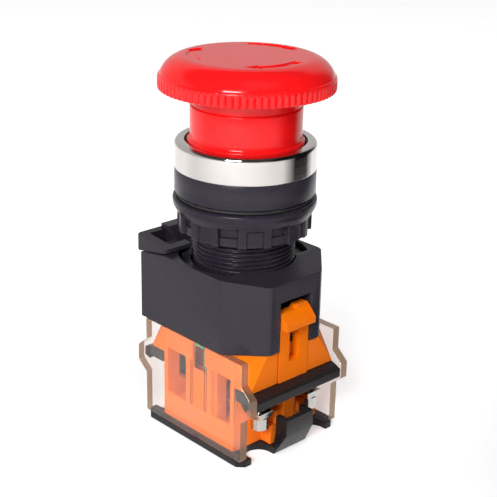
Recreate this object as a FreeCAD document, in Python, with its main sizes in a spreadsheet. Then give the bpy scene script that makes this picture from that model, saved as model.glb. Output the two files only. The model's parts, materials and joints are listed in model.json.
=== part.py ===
"""Emergency stop button with a twist-release mushroom head and a contact block.

Millimetres, +Z up. The origin is on the underside of the base plate, on the axis of the button.
The long direction of the contact block is X. The normally open contact is on the -Y side, the
normally closed one on the +Y side. The lock lever is at the -X, -Y corner.
The sizes are cells of a spreadsheet, and the sub-parts are bound to them by expressions.
"""
import FreeCAD, Part
import Sketcher
import os
import re

DOC = FreeCAD.newDocument("EmergencyStop")
SHEET = DOC.addObject("Spreadsheet::Sheet", "Sizes")

# cell name: (value in mm, what it is)
SIZES = {
    # contact block
    "block_x": (16.0, "half length of the clear covers"),
    "block_y": (14.7, "half width over the clear covers"),
    "cover_wall": (2.1, "thickness of a clear cover"),
    "cover_top": (24.4, "top of the covers and of the contact block"),
    "bump_x": (18.4, "half length over the pointed bumps of the covers"),
    "bump_low": (11.1, "lowest point of a bump"),
    "bump_point_low": (13.3, "lower corner of a bump's outer edge"),
    "bump_point_high": (17.0, "upper corner of a bump's outer edge"),
    "bump_high": (19.45, "highest point of a bump"),
    "rib_x": (2.2, "distance of a cover's inner ribs from the middle"),
    "rib_size": (0.6, "thickness of a cover's inner ribs"),
    "rib_depth": (0.5, "how far a cover's ribs stand inwards"),
    "plate_top": (1.63, "thickness of the base plate"),
    "plate_x": (15.8, "half length of the base plate"),
    "plate_y": (14.64, "half width of the base plate"),
    "plate_corner": (1.5, "chamfer at the corners of the base plate"),
    "leg_y": (11.4, "inner side of the base plate's corner legs"),
    "tab_y": (4.9, "half width of the centre tab of the base plate"),
    "cutout_x": (11.5, "how near to the middle the screwdriver cut-outs reach"),
    "hook_x": (18.7, "outer face of a hook block"),
    "hook_depth": (3.3, "length of a hook block along X"),
    "hook_y": (4.05, "half width of a hook block's upright face"),
    "hook_top": (9.0, "top of a hook block"),
    "hook_bend": (5.2, "where a hook block's slope turns upright"),
    "hook_wall": (1.2, "wall of a hook block"),
    "hook_floor": (4.2, "bottom of the hollow in a hook block"),
    "foot_x": (14.4, "how far the stepped feet of the contact block reach along X"),
    "foot_y": (4.6, "half width of a foot's lower step"),
    "foot_low": (6.2, "top of a foot's lower step"),
    "foot_neck_y": (3.1, "half width of a foot's upper step"),
    "foot_high": (9.2, "top of a foot's upper step"),
    "web": (1.6, "half thickness of the wall between the two contacts"),
    "inner_y": (12.5, "half width between the clear covers"),
    "chamber_x": (11.5, "half length over the contact chambers"),
    "chamber_wall": (1.2, "thickness of the chambers' end walls"),
    "side_wall": (1.0, "thickness of the chambers' side walls"),
    "floor_top": (5.6, "floor of the contact chambers"),
    "view_x": (4.2, "inner edge of a window in a side wall"),
    "guard_x": (4.0, "distance of the guide walls beside a slider from the middle"),
    "guard_size": (1.0, "thickness of the guide walls beside a slider"),
    "guard_y": (8.6, "how near to the middle the guide walls reach"),
    "guide_low": (16.5, "lower end of the slot for a slider's rib"),
    "view_low": (7.5, "lower edge of a window in a side wall"),
    "view_high": (18.5, "upper edge of a window in a side wall"),
    "roof_low": (21.5, "underside of the chambers' roof"),
    "end_x": (15.9, "half length of the contact block's shoulders"),
    "end_y": (12.4, "half width of the contact block's shoulders"),
    "facet_x": (4.9, "length of a shoulder's corner facet along X"),
    "facet_y": (4.7, "length of a shoulder's corner facet along Y"),
    "shoulder_foot": (17.0, "foot of the shoulders"),
    "bar_x": (12.0, "inner edge of a terminal shield"),
    "bar_low": (14.3, "underside of a terminal shield"),
    "bar_lip": (13.4, "lowest point of a terminal shield"),
    "bar_top": (16.9, "top of a terminal shield"),
    "bar_edge": (15.9, "top of a terminal shield's outer edge"),
    # contacts
    "lane": (7.3, "distance of each contact lane from the middle"),
    "slider_x": (1.6, "half length of a slider's stem"),
    "slider_y": (2.3, "half width of a slider's stem"),
    "fin_x": (1.5, "half length of the rib on a slider"),
    "fin_low": (22.3, "lower end of the rib on a slider"),
    "fin_top": (24.2, "upper end of the rib on a slider"),
    "play": (0.4, "play of a slider in its guide"),
    "slider_foot": (10.2, "foot of a slider"),
    "slider_top": (36.4, "top of a slider"),
    "slider_neck": (34.0, "underside of a slider's head"),
    "head_x": (3.0, "half length of a slider's head"),
    "head_in": (1.0, "inner side of a slider's head"),
    "well_low": (2.2, "bottom of a return spring's well"),
    "strip": (0.8, "thickness of the contact strips"),
    "strip_in": (5.6, "inner end of the fixed strips"),
    "strip_y": (1.6, "half width of the fixed strips"),
    "strip_drop": (9.5, "where the closed contact's strips turn down"),
    "bridge_x": (8.2, "half length of a moving bridge"),
    "bridge_y": (1.1, "half width of a moving bridge"),
    "tip_x": (7.0, "distance of the contact tips from the axis"),
    "tip_r": (1.2, "radius of a contact tip"),
    "tip_size": (0.58, "height of a contact tip"),
    "window_y": (1.45, "half width of the window in a slider"),
    "no_window_low": (14.95, "lower edge of the open contact slider's window"),
    "no_window_top": (20.2, "upper edge of the open contact slider's window"),
    "nc_window_low": (11.2, "lower edge of the closed contact slider's window"),
    "nc_window_top": (16.2, "upper edge of the closed contact slider's window"),
    "no_bridge": (15.0, "underside of the open contact's bridge"),
    "nc_bridge": (14.2, "underside of the closed contact's bridge"),
    "nc_strip": (16.2, "underside of the closed contact's strips"),
    "terminal_z": (10.2, "underside of the strips at the terminals"),
    "terminal_x": (13.75, "distance of the terminal screws from the axis"),
    "pad_in": (11.9, "inner edge of a terminal pad"),
    "pad_out": (15.7, "outer edge of a terminal pad"),
    "pad_y": (2.0, "half width of a terminal pad"),
    "screw_r": (1.3, "thread radius of a terminal screw"),
    "screw_hole": (1.35, "radius of the holes for a terminal screw"),
    "screw_top": (13.3, "top of a terminal screw"),
    "screw_head_r": (2.0, "head radius of a terminal screw"),
    "screw_head": (2.7, "head height of a terminal screw"),
    "screw_slot": (0.35, "half width of a screw's cross slot"),
    "clamp_half": (1.8, "half width of a square clamp"),
    "clamp_size": (0.7, "thickness of a square clamp"),
    # adaptor housing
    "house_low": (24.45, "underside of the adaptor housing"),
    "house_top": (41.0, "top of the housing"),
    "house_slope": (39.75, "top of the housing at its +X face"),
    "house_step": (39.3, "lower top face under the thumb ridge of the lock lever"),
    "slant_low": (39.7, "outer edge of the sloping top face under the lever's window"),
    "slant_y": (7.4, "inner side of the sloping top face under the lever's window"),
    "house_y": (14.6, "half width of the housing"),
    "house_front": (16.3, "+X face of the housing"),
    "house_rear": (17.2, "distance of the -X face of the housing"),
    "house_corner": (7.2, "chamfer at the +X corners of the housing"),
    "corner_cut": (0.6, "reach of the rounding beside each of the chamfer's edges"),
    "cavity_x": (8.5, "half length of the housing's cavity"),
    "cavity_y": (11.6, "half width of the housing's cavity"),
    "cavity_top": (36.9, "top of the housing's cavity"),
    "seat": (38.0, "seat of the barrel in the housing"),
    "seat_hole": (9.6, "hole in the seat"),
    "house_bore": (11.35, "radius of the housing's bore around the barrel"),
    "pocket_r": (14.0, "radius of the pocket in the housing's top"),
    "pocket_flat": (8.0, "+X flat of the pocket"),
    "step_x": (9.0, "distance of the step under the lever from the axis"),
    "ring_groove": (39.95, "top of the groove under the pocket's flat"),
    "gate_y": (4.5, "half width of the housing's latch windows"),
    "gate_top": (35.6, "top of the latch windows"),
    "gate_in": (13.7, "inner side of the latch windows"),
    "catch_in": (12.4, "inner side of the recess for a latch's tooth"),
    "catch_low": (28.8, "ledge that holds a latch's tooth"),
    # lock lever
    "ring_r": (13.4, "outer radius of the lock ring"),
    "ring_bore": (11.45, "bore of the lock ring"),
    "ring_low": (38.3, "underside of the lock ring"),
    "ring_top": (39.8, "top of the lock ring"),
    "lever_low": (39.4, "underside of the lever at its outer edge"),
    "lever_top": (43.2, "top of the lever at its outer edge"),
    "lever_dip": (42.2, "top of the lever at its inner edge"),
    "lever_lift": (41.3, "underside of the lever at its inner edge"),
    "lever_out": (19.4, "how far the lever reaches along -X"),
    "lever_in": (9.1, "inner edge of the lever"),
    "lever_side": (14.2, "how far the lever reaches along -Y"),
    "lever_round": (1.2, "rounding of the lever's upright corners"),
    "lever_far": (2.5, "far edge of the thumb ridge"),
    "ridge_y": (7.0, "near edge of the thumb ridge"),
    "ridge_top": (43.9, "top of the thumb ridge"),
    "ramp_out": (16.6, "outer end of the ramp beside the thumb ridge"),
    "ramp_in": (13.6, "inner end of the ramp beside the thumb ridge"),
    "ramp_low": (41.0, "foot of the ramp beside the thumb ridge"),
    "eye_out": (17.8, "outer edge of the window in the lever"),
    "eye_in": (11.2, "inner edge of the window in the lever"),
    "eye_side": (11.6, "side of the window in the lever"),
    "eye_far": (7.0, "far side of the window in the lever"),
    # latches
    "latch_y": (4.2, "half width of a latch"),
    "latch_face": (16.1, "outer face of a latch's stem"),
    "latch_back": (14.1, "inner face of a latch's stem"),
    "latch_foot": (16.95, "foot of a latch"),
    "lip_out": (18.1, "outer edge of a latch's lip"),
    "lip_low": (29.5, "underside of a latch's lip"),
    "lip_high": (30.8, "upper corner of a latch's lip"),
    "latch_top": (33.0, "top of a latch"),
    "knuckle_top": (33.8, "top of the knuckle on a latch"),
    "tooth_in": (12.7, "point of a latch's tooth"),
    "tooth_low": (28.9, "underside of a latch's tooth"),
    "tooth_high": (30.4, "top of a latch's tooth"),
    "slot_y": (1.4, "half width of the slot in a latch"),
    "slot_low": (21.3, "lower end of the slot in a latch"),
    "slot_high": (28.0, "upper end of the slot in a latch"),
    # operator
    "barrel_r": (11.0, "radius of the barrel for a 22 mm hole"),
    "thread_depth": (0.55, "depth of the barrel's thread"),
    "thread_pitch": (1.0, "pitch of the barrel's thread"),
    "thread_low": (40.5, "start of the barrel's thread"),
    "collar_low": (55.2, "underside of the operator's collar"),
    "collar_r": (14.92, "radius of the operator's collar"),
    "collar_edge": (0.5, "chamfer under the operator's collar"),
    "bezel_low": (60.6, "underside of the bezel"),
    "bezel_top": (66.5, "top of the bezel"),
    "bezel_r": (14.94, "outer radius of the bezel"),
    "bezel_hole": (12.8, "radius of the hole in the bezel"),
    "bezel_round": (0.9, "rounding of the bezel's outer edge"),
    "bezel_lip": (65.85, "underside of the bezel's inward lip"),
    "neck_r": (13.9, "outer radius of the neck inside the bezel"),
    "neck_top": (65.2, "top of the neck"),
    "neck_bore": (12.65, "radius of the bore that the skirt slides in"),
    "neck_floor": (56.6, "floor of the bore that the skirt slides in"),
    "seal_bore": (12.36, "inner radius of the seal"),
    "spring_bore": (8.8, "radius of the main spring's chamber"),
    "guide_bore": (6.06, "radius of the bores that run on the plunger"),
    "guide_floor": (42.0, "underside of the plunger's guide"),
    "guide_top": (44.0, "top of the plunger's guide"),
    "gasket_low": (54.42, "underside of the gasket"),
    "gasket_high": (55.17, "top of the gasket"),
    "gasket_r": (14.6, "radius of the gasket"),
    "nut_low": (47.0, "underside of the ring nut"),
    "nut_top": (54.4, "top of the ring nut"),
    "nut_cone": (50.6, "where the ring nut starts to widen"),
    "nut_neck": (51.6, "where the ring nut's flange starts"),
    "nut_rim": (53.0, "lower edge of the ring nut's rim"),
    "nut_rim_r": (15.3, "radius of the ring nut's rim"),
    "nut_r": (14.3, "radius over the ring nut's ribs"),
    "nut_bore": (11.08, "bore of the ring nut"),
    "grip_depth": (1.3, "depth of a grip recess in the ring nut"),
    "grip_y": (2.05, "half width of a grip recess"),
    "grip_top": (51.3, "top of a grip recess"),
    "flat_depth": (0.55, "depth of a shallow flat between two ribs"),
    "flat_y": (1.8, "half width of a shallow flat"),
    # head
    "cap_r": (18.4, "radius of the mushroom head over its rim"),
    "cap_body_r": (17.95, "radius of the head above its rim"),
    "cap_low": (77.2, "underside of the head"),
    "cap_rim": (80.2, "top of the head's rim"),
    "cap_edge": (83.8, "height of the head's top at its edge"),
    "cap_corner_r": (16.7, "radius of the head at its top, before its shoulder is rounded"),
    "cap_crown": (83.9, "height of the head's top at its centre"),
    "cap_round": (5.2, "rounding of the head's shoulder"),
    "cap_hollow_in": (12.4, "inner radius of the recess under the head"),
    "cap_hollow_out": (16.9, "outer radius of the recess under the head"),
    "cap_hollow_top": (80.0, "top of the recess under the head"),
    "spigot_r": (10.55, "radius of the spigot that holds the skirt"),
    "spigot_low": (75.8, "underside of the spigot"),
    "boss_r": (7.6, "radius of the boss that turns on the plunger"),
    "boss_low": (71.0, "underside of the boss"),
    "boss_top": (74.3, "end of the boss's bore"),
    "arrow_in": (10.45, "inner radius of the turn arrows"),
    "arrow_out": (12.45, "outer radius of the turn arrows"),
    "arrow_low": (83.42, "bottom of the engraved arrows"),
    "arrow_head": (2.0, "size of an arrow's head"),
    "skirt_r": (11.73, "radius of the skirt"),
    "skirt_bore": (10.6, "bore of the skirt"),
    "skirt_low": (62.3, "lower end of the skirt"),
    "skirt_lip_r": (12.3, "radius of the lip at the skirt's foot"),
    "skirt_lip": (66.6, "top of the lip at the skirt's foot"),
    "skirt_step": (73.9, "step near the top of the skirt"),
    "skirt_neck_r": (11.4, "radius of the skirt above the step"),
    "plunger_r": (6.0, "radius of the plunger"),
    "plunger_low": (36.5, "foot of the plunger"),
    "plunger_high": (74.0, "top of the plunger"),
    "groove_r": (5.2, "radius of the plunger in its clip grooves"),
    "clip_play": (0.05, "play of a clip in its groove"),
    "clip_low": (41.25, "underside of the retaining clip"),
    "clip_high": (41.95, "top of the retaining clip"),
    "clip_r": (7.6, "outer radius of the retaining clip"),
    "circlip_low": (70.2, "underside of the head's circlip"),
    "circlip_high": (70.9, "top of the head's circlip"),
    "circlip_r": (7.0, "outer radius of the head's circlip"),
    "shelf_low": (54.0, "underside of the plunger's spring shelf"),
    "shelf_high": (56.0, "top of the plunger's spring shelf"),
    "shelf_r": (8.5, "radius of the plunger's spring shelf"),
    "pin_z": (63.4, "height of the latch pin"),
    "pin_r": (0.9, "radius of the latch pin"),
    "pin_y": (9.2, "half length of the latch pin"),
    "cam_bore": (7.4, "bore of the cam ring"),
    "cam_r": (10.2, "outer radius of the cam ring"),
    "cam_high": (64.6, "top of the cam ring"),
    "cam_slot": (1.1, "half width of the cam ring's slots"),
    "cam_slot_low": (56.9, "lower end of the cam ring's slots"),
    # springs
    "main_coil": (7.45, "mean radius of the main spring"),
    "main_wire": (0.4, "wire radius of the main spring"),
    "main_pitch": (2.2, "pitch of the main spring"),
    "turn_coil": (6.7, "mean radius of the torsion spring"),
    "turn_wire": (0.3, "wire radius of the torsion spring"),
    "turn_pitch": (0.85, "pitch of the torsion spring"),
    "turn_low": (64.9, "lower end of the torsion spring"),
    "turn_high": (69.9, "upper end of the torsion spring"),
    "lane_coil": (1.2, "mean radius of the return springs"),
    "lane_wire": (0.16, "wire radius of the return and contact springs"),
    "lane_pitch": (1.3, "pitch of the return springs"),
    "press_coil": (0.85, "mean radius of the contact springs"),
    "press_pitch": (0.9, "pitch of the contact springs"),
}

THREAD_TEETH = 14       # turns of the barrel's thread
NUT_GRIPS = 8           # grip recesses around the ring nut
GRIP_START = -11.8      # degrees, centre of the first grip recess
FLAT_STEP = 23.0        # degrees from a grip recess to the shallow flat beside it
ARROWS = 3              # turn arrows on the head
ARROW_TIP = -37.0       # degrees, middle of the first arrow's head
ARROW_SWEEP = 54.0      # degrees that an arrow's shaft covers

for row, (alias, (value, meaning)) in enumerate(SIZES.items(), start=1):
    SHEET.set(f"A{row}", meaning)
    SHEET.set(f"B{row}", str(value))
    SHEET.setAlias(f"B{row}", alias)
DOC.recompute()


# ---------------------------------------------------------------- tools

def bind(item, path, expression):
    """Bind a property to an expression that names cells of the sheet."""
    words = re.sub(r"[a-z_]+", lambda word: f"Sizes.{word[0]}" if word[0] in SIZES else word[0], expression)
    item.setExpression(path, words)


def value_of(expression):
    """The present value of an expression, for the first guess of a sketch."""
    return float(SHEET.evalExpression(expression))


def box(name, x, y, z):
    """A box between two X, two Y and two Z values."""
    item = DOC.addObject("Part::Box", name)
    for side, axis, (low, high) in (("Length", "x", x), ("Width", "y", y), ("Height", "z", z)):
        bind(item, side, f"({high}) - ({low})")
        bind(item, f"Placement.Base.{axis}", low)
    return item


def rod(name, radius, z, at=("0", "0")):
    """An upright cylinder between two Z values."""
    item = DOC.addObject("Part::Cylinder", name)
    bind(item, "Radius", radius)
    bind(item, "Height", f"({z[1]}) - ({z[0]})")
    for axis, place in zip("xyz", (at[0], at[1], z[0])):
        bind(item, f"Placement.Base.{axis}", place)
    return item


def group(name, members):
    """Several separate solids in one object."""
    item = DOC.addObject("Part::Compound", name)
    item.Links = list(members)
    return item


def cut(name, base, *tools):
    item = DOC.addObject("Part::Cut", name)
    item.Base = base
    item.Tool = tools[0] if len(tools) == 1 else fuse(f"{name}_tools", *tools)
    return item


def fuse(name, *members):
    item = DOC.addObject("Part::MultiFuse", name)
    item.Shapes = list(members)
    return item


def common(name, *members):
    item = DOC.addObject("Part::MultiCommon", name)
    item.Shapes = list(members)
    return item


def tube(name, outer, inner, z):
    return cut(name, rod(f"{name}_outside", outer, z), rod(f"{name}_inside", inner, z))


def turned(item, degrees):
    """Turn an object about the Z axis through the origin."""
    turn = FreeCAD.Placement(FreeCAD.Vector(), FreeCAD.Rotation(FreeCAD.Vector(0, 0, 1), degrees))
    item.Placement = turn.multiply(item.Placement)
    return item


def mirrored(name, source, normal):
    """A mirrored copy of an object, about a plane through the origin."""
    item = DOC.addObject("Part::Mirroring", name)
    item.Source = source
    item.Normal = normal
    return item


def outline(body, role, corners, offset="0"):
    """A sketch of straight edges on one of the body's own planes, bound to the sheet."""
    sketch = body.newObject("Sketcher::SketchObject", f"{body.Name}_outline")
    plane = next(item for item in body.Origin.OriginFeatures if item.Role == role)
    sketch.AttachmentSupport = [(plane, "")]
    sketch.MapMode = "FlatFace"
    bind(sketch, "AttachmentOffset.Base.z", offset)
    places = [(value_of(across), value_of(up)) for across, up in corners]
    points = [FreeCAD.Vector(across, up, 0) for across, up in places]
    for index, point in enumerate(points):
        sketch.addGeometry(Part.LineSegment(point, points[(index + 1) % len(points)]), False)
    for index in range(len(points)):
        sketch.addConstraint(Sketcher.Constraint("Coincident", (index - 1) % len(points), 2, index, 1))
    for index, words in enumerate(corners):
        for kind, word, place in zip(("DistanceX", "DistanceY"), words, places[index]):
            entry = sketch.addConstraint(Sketcher.Constraint(kind, -1, 1, index, 1, place))
            bind(sketch, f"Constraints[{entry}]", word)
    return sketch


def prism(name, role, corners, span):
    """A straight outline padded between two values along the third axis."""
    body = DOC.addObject("PartDesign::Body", name)
    # the XZ plane looks along -Y, so its offset counts the other way
    offset = f"-({span[1]})" if role == "XZ_Plane" else span[0]
    pad = body.newObject("PartDesign::Pad", f"{name}_pad")
    pad.Profile = outline(body, role, corners, offset)
    bind(pad, "Length", f"({span[1]}) - ({span[0]})")
    body.Tip = pad
    return body


def lathe(name, corners):
    """A turned piece about Z from an outline of (radius, height) corners."""
    body = DOC.addObject("PartDesign::Body", name)
    sketch = outline(body, "XZ_Plane", corners)
    turn = body.newObject("PartDesign::Revolution", f"{name}_turn")
    turn.Profile = sketch
    turn.ReferenceAxis = (sketch, ["V_Axis"])
    turn.Angle = 360
    body.Tip = turn
    return body


def rounded(body, radius, height, rounding):
    """Round one circular edge of a turned body, found by its radius and height."""
    DOC.recompute()
    base = body.Tip
    edges = [f"Edge{index}" for index, edge in enumerate(base.Shape.Edges, start=1)
             if isinstance(edge.Curve, Part.Circle)
             and abs(edge.Curve.Radius - value_of(radius)) < 0.01
             and abs(edge.Curve.Center.z - value_of(height)) < 0.01]
    fillet = body.newObject("PartDesign::Fillet", f"{body.Name}_round")
    fillet.Base = (base, edges)
    bind(fillet, "Radius", rounding)
    body.Tip = fillet
    return body


def spring(name, coil, wire, pitch, z, lane="0"):
    """A round wire wound about an upright axis, between two Z values."""
    body = DOC.addObject("PartDesign::Body", name)
    sketch = body.newObject("Sketcher::SketchObject", f"{name}_wire")
    plane = next(item for item in body.Origin.OriginFeatures if item.Role == "XZ_Plane")
    sketch.AttachmentSupport = [(plane, "")]
    sketch.MapMode = "FlatFace"
    start = f"({z[0]}) + {wire}"
    centre = FreeCAD.Vector(value_of(coil), value_of(start), 0)
    sketch.addGeometry(Part.Circle(centre, FreeCAD.Vector(0, 0, 1), value_of(wire)), False)
    for kind, word in (("DistanceX", coil), ("DistanceY", start)):
        entry = sketch.addConstraint(Sketcher.Constraint(kind, -1, 1, 0, 3, value_of(word)))
        bind(sketch, f"Constraints[{entry}]", word)
    entry = sketch.addConstraint(Sketcher.Constraint("Radius", 0, value_of(wire)))
    bind(sketch, f"Constraints[{entry}]", wire)
    coils = body.newObject("PartDesign::AdditiveHelix", f"{name}_coils")
    coils.Profile = sketch
    coils.ReferenceAxis = (sketch, ["V_Axis"])
    coils.Mode = 0
    bind(coils, "Pitch", pitch)
    bind(coils, "Height", f"({z[1]}) - ({z[0]}) - 2 * {wire}")
    body.Tip = coils
    bind(body, "Placement.Base.y", lane)
    return body


# ---------------------------------------------------------------- contact block

def make_hook(name):
    """The hollow block at the +X end of the base plate that a wire strap hooks onto."""
    side = prism(f"{name}_side", "XZ_Plane",
                 [("hook_x - hook_depth", "0"), ("plate_x", "0"), ("hook_x", "hook_bend"),
                  ("hook_x", "hook_top"), ("hook_x - hook_depth", "hook_top")],
                 ("-tab_y", "tab_y"))
    front = prism(f"{name}_front", "YZ_Plane",
                  [("-tab_y", "0"), ("tab_y", "0"), ("hook_y", "hook_bend"), ("hook_y", "hook_top"),
                   ("-hook_y", "hook_top"), ("-hook_y", "hook_bend")],
                  ("hook_x - hook_depth", "hook_x"))
    hollow = box(f"{name}_hollow", ("hook_x - hook_depth", "hook_x - hook_wall"),
                 ("hook_wall - hook_y", "hook_y - hook_wall"), ("hook_floor", "hook_top"))
    return cut(name, common(f"{name}_block", side, front), hollow)


def make_base_plate():
    plate = prism("plate", "XY_Plane",
                  [("plate_corner - plate_x", "-plate_y"), ("plate_x - plate_corner", "-plate_y"),
                   ("plate_x", "plate_corner - plate_y"), ("plate_x", "plate_y - plate_corner"),
                   ("plate_x - plate_corner", "plate_y"), ("plate_corner - plate_x", "plate_y"),
                   ("-plate_x", "plate_y - plate_corner"), ("-plate_x", "plate_corner - plate_y")],
                  ("0", "plate_top"))
    middle = "(leg_y + tab_y) / 2"
    radius = "(leg_y - tab_y) / 2"
    cutouts = []
    for side in (1, -1):
        round_end = rod("cutout_round", radius, ("0", "plate_top"),
                        (f"cutout_x + {radius}", f"{side} * {middle}"))
        mouth = box("cutout_mouth", (f"cutout_x + {radius}", "plate_x + 1"),
                    (f"{side} * {middle} - {radius}", f"{side} * {middle} + {radius}"), ("0", "plate_top"))
        cutouts += [round_end, mouth]
    right = fuse("cutouts_right", *cutouts)
    left = mirrored("cutouts_left", right, (1, 0, 0))
    hook = make_hook("hook_right")
    other_hook = mirrored("hook_left", hook, (1, 0, 0))
    return fuse("base_plate", cut("plate_cut", plate, right, left), hook, other_hook)


def make_side_covers():
    """The clear covers, each with a pointed bump at both ends and two ribs inside."""
    right = [("block_x", "plate_top"), ("block_x", "bump_low"), ("bump_x", "bump_point_low"),
             ("bump_x", "bump_point_high"), ("block_x", "bump_high"), ("block_x", "cover_top")]
    left = [(f"-{across}", up) for across, up in reversed(right)]
    sheet = prism("cover_sheet", "XZ_Plane", right + left, ("-block_y", "cover_wall - block_y"))
    ribs = [box("cover_rib", (f"{side} * rib_x - rib_size / 2", f"{side} * rib_x + rib_size / 2"),
                ("cover_wall - block_y", "cover_wall - block_y + rib_depth"),
                ("view_low + 0.2", "view_high - 0.2"))
            for side in (1, -1)]
    front = fuse("side_cover_front", sheet, *ribs)
    return [front, mirrored("side_cover_rear", front, (0, 1, 0))]


def shoulder_facet(name):
    """The corner that is cut off a shoulder, a tetrahedron at the shoulder's top outer corner."""
    x, y, z = value_of("end_x"), value_of("end_y"), value_of("cover_top")
    corner = FreeCAD.Vector(x, y, z)
    ends = [FreeCAD.Vector(x - value_of("facet_x"), y, z), FreeCAD.Vector(x, y - value_of("facet_y"), z),
            FreeCAD.Vector(x, y, value_of("shoulder_foot"))]
    faces = [Part.Face(Part.makePolygon([*three, three[0]]))
             for three in (ends, [corner, ends[0], ends[1]], [corner, ends[1], ends[2]],
                           [corner, ends[2], ends[0]])]
    item = DOC.addObject("Part::Feature", name)
    item.Shape = Part.makeSolid(Part.makeShell(faces))
    return item


def make_end(name):
    """The sloped shoulder and the partition at the +X end of the contact block."""
    shoulder = box(f"{name}_shoulder", ("chamber_x - chamber_wall", "end_x"), ("-end_y", "end_y"),
                   ("shoulder_foot", "cover_top"))
    facet = shoulder_facet(f"{name}_facet")
    latch_slot = box(f"{name}_slot", ("latch_back - 0.2", "end_x"), ("-gate_y", "gate_y"),
                     ("shoulder_foot", "cover_top"))
    facet_b = mirrored(f"{name}_facet_b", facet, (0, 1, 0))
    shaped = cut(f"{name}_shaped", shoulder, facet, facet_b, latch_slot)
    partition = box(f"{name}_partition", ("chamber_x", "hook_x - hook_depth - 0.1"), ("-web", "web"),
                    ("plate_top", "bar_low"))
    low_step = box(f"{name}_low_step", ("chamber_x - chamber_wall", "foot_x"), ("-foot_y", "foot_y"),
                   ("plate_top", "foot_low"))
    high_step = box(f"{name}_high_step", ("chamber_x - chamber_wall", "foot_x"),
                    ("-foot_neck_y", "foot_neck_y"), ("plate_top", "foot_high"))
    return fuse(name, shaped, partition, low_step, high_step)


def make_contact_base():
    wide = ("-inner_y", "inner_y")
    full = ("-chamber_x", "chamber_x")
    floor = box("base_floor", full, wide, ("plate_top", "floor_top"))
    web = box("base_web", full, ("-web", "web"), ("plate_top", "cover_top"))
    roof = box("base_roof", full, wide, ("roof_low", "cover_top"))
    parts = [floor, web, roof]
    for side in (1, -1):
        parts.append(box("base_end_wall",
                         (f"{side} * (chamber_x - chamber_wall / 2) - chamber_wall / 2",
                          f"{side} * (chamber_x - chamber_wall / 2) + chamber_wall / 2"),
                         wide, ("plate_top", "cover_top")))
        parts.append(box("base_side_wall", full,
                         (f"{side} * (inner_y - side_wall / 2) - side_wall / 2",
                          f"{side} * (inner_y - side_wall / 2) + side_wall / 2"),
                         ("plate_top", "cover_top")))
    end = make_end("base_end")
    parts += [end, mirrored("base_end_b", end, (1, 0, 0))]
    tools = []
    middle = "(guard_y + inner_y) / 2"
    for side in (1, -1):
        for end_side in (1, -1):
            parts.append(box("base_guard", (f"{end_side} * (guard_x + guard_size / 2) - guard_size / 2",
                                            f"{end_side} * (guard_x + guard_size / 2) + guard_size / 2"),
                             (f"{side} * {middle} - (inner_y - guard_y) / 2",
                              f"{side} * {middle} + (inner_y - guard_y) / 2"), ("plate_top", "cover_top")))
    for side in (1, -1):
        lane = f"{side} * lane"
        tools.append(box("guide_hole", ("-slider_x - play", "slider_x + play"),
                         (f"{lane} - slider_y - play", f"{lane} + slider_y + play"),
                         ("well_low", "cover_top")))
        for end_side in (1, -1):
            # the strips leave their chamber through these slots
            wall = f"{end_side} * (chamber_x - chamber_wall / 2)"
            tools.append(box("strip_slot", (f"{wall} - chamber_wall", f"{wall} + chamber_wall"),
                             (f"{lane} - strip_y - 0.1", f"{lane} + strip_y + 0.1"),
                             ("terminal_z - 0.1", "nc_strip + strip")))
            # the chambers can be looked into through these windows
            middle = f"{end_side} * (view_x + chamber_x - chamber_wall) / 2"
            half = "(chamber_x - chamber_wall - view_x) / 2"
            tools.append(box("view_window", (f"{middle} - {half}", f"{middle} + {half}"),
                             (f"{side} * inner_y - side_wall", f"{side} * inner_y + side_wall"),
                             ("view_low", "view_high")))
        tools.append(box("fin_slot", ("-slider_x - play", "slider_x + play"),
                         (f"{side} * inner_y - 4 * side_wall", f"{side} * inner_y + 4 * side_wall"),
                         ("guide_low", "cover_top")))
        # a clear cover's two inner ribs stand in this shallow channel
        tools.append(box("rib_channel", ("-rib_x - rib_size", "rib_x + rib_size"),
                         (f"{side} * inner_y - rib_depth", f"{side} * inner_y + rib_depth"),
                         ("view_low", "view_high")))
    return cut("contact_base", fuse("base_whole", *parts), *tools)


def make_terminal_shields():
    right = prism("terminal_shield_right", "XZ_Plane",
                  [("bar_x", "bar_low"), ("block_x - 0.5", "bar_low"), ("block_x + 0.8", "bar_lip"),
                   ("bump_x", "bar_lip + 0.5"), ("bump_x", "bar_edge"), ("block_x", "bar_top"),
                   ("bar_x", "bar_top")],
                  ("-inner_y", "inner_y"))
    return [right, mirrored("terminal_shield_left", right, (1, 0, 0))]


# ---------------------------------------------------------------- contacts and terminals

def terminal_pad(name, lane):
    """The wide outer end of a strip, with the hole for its screw."""
    pad = box(f"{name}_pad", ("pad_in", "pad_out"), (f"{lane} - pad_y", f"{lane} + pad_y"),
              ("terminal_z", "terminal_z + strip"))
    return cut(name, pad, rod(f"{name}_hole", "screw_hole", ("terminal_z", "terminal_z + strip"),
                              ("terminal_x", lane)))


def make_fixed_contacts(name, lane, corners):
    """A pair of strips from the contact tips to the terminals."""
    strip = prism(f"{name}_strip", "XZ_Plane", corners, (f"{lane} - strip_y", f"{lane} + strip_y"))
    right = fuse(f"{name}_right", strip, terminal_pad(f"{name}_terminal", lane))
    return group(name, [right, mirrored(f"{name}_left", right, (1, 0, 0))])


def make_tips(name, lane, z):
    return [rod(name, "tip_r", z, (f"{side} * tip_x", lane)) for side in (1, -1)]


def make_bridge(name, lane, low):
    return box(name, ("-bridge_x", "bridge_x"), (f"{lane} - bridge_y", f"{lane} + bridge_y"),
               (low, f"{low} + strip"))


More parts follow.
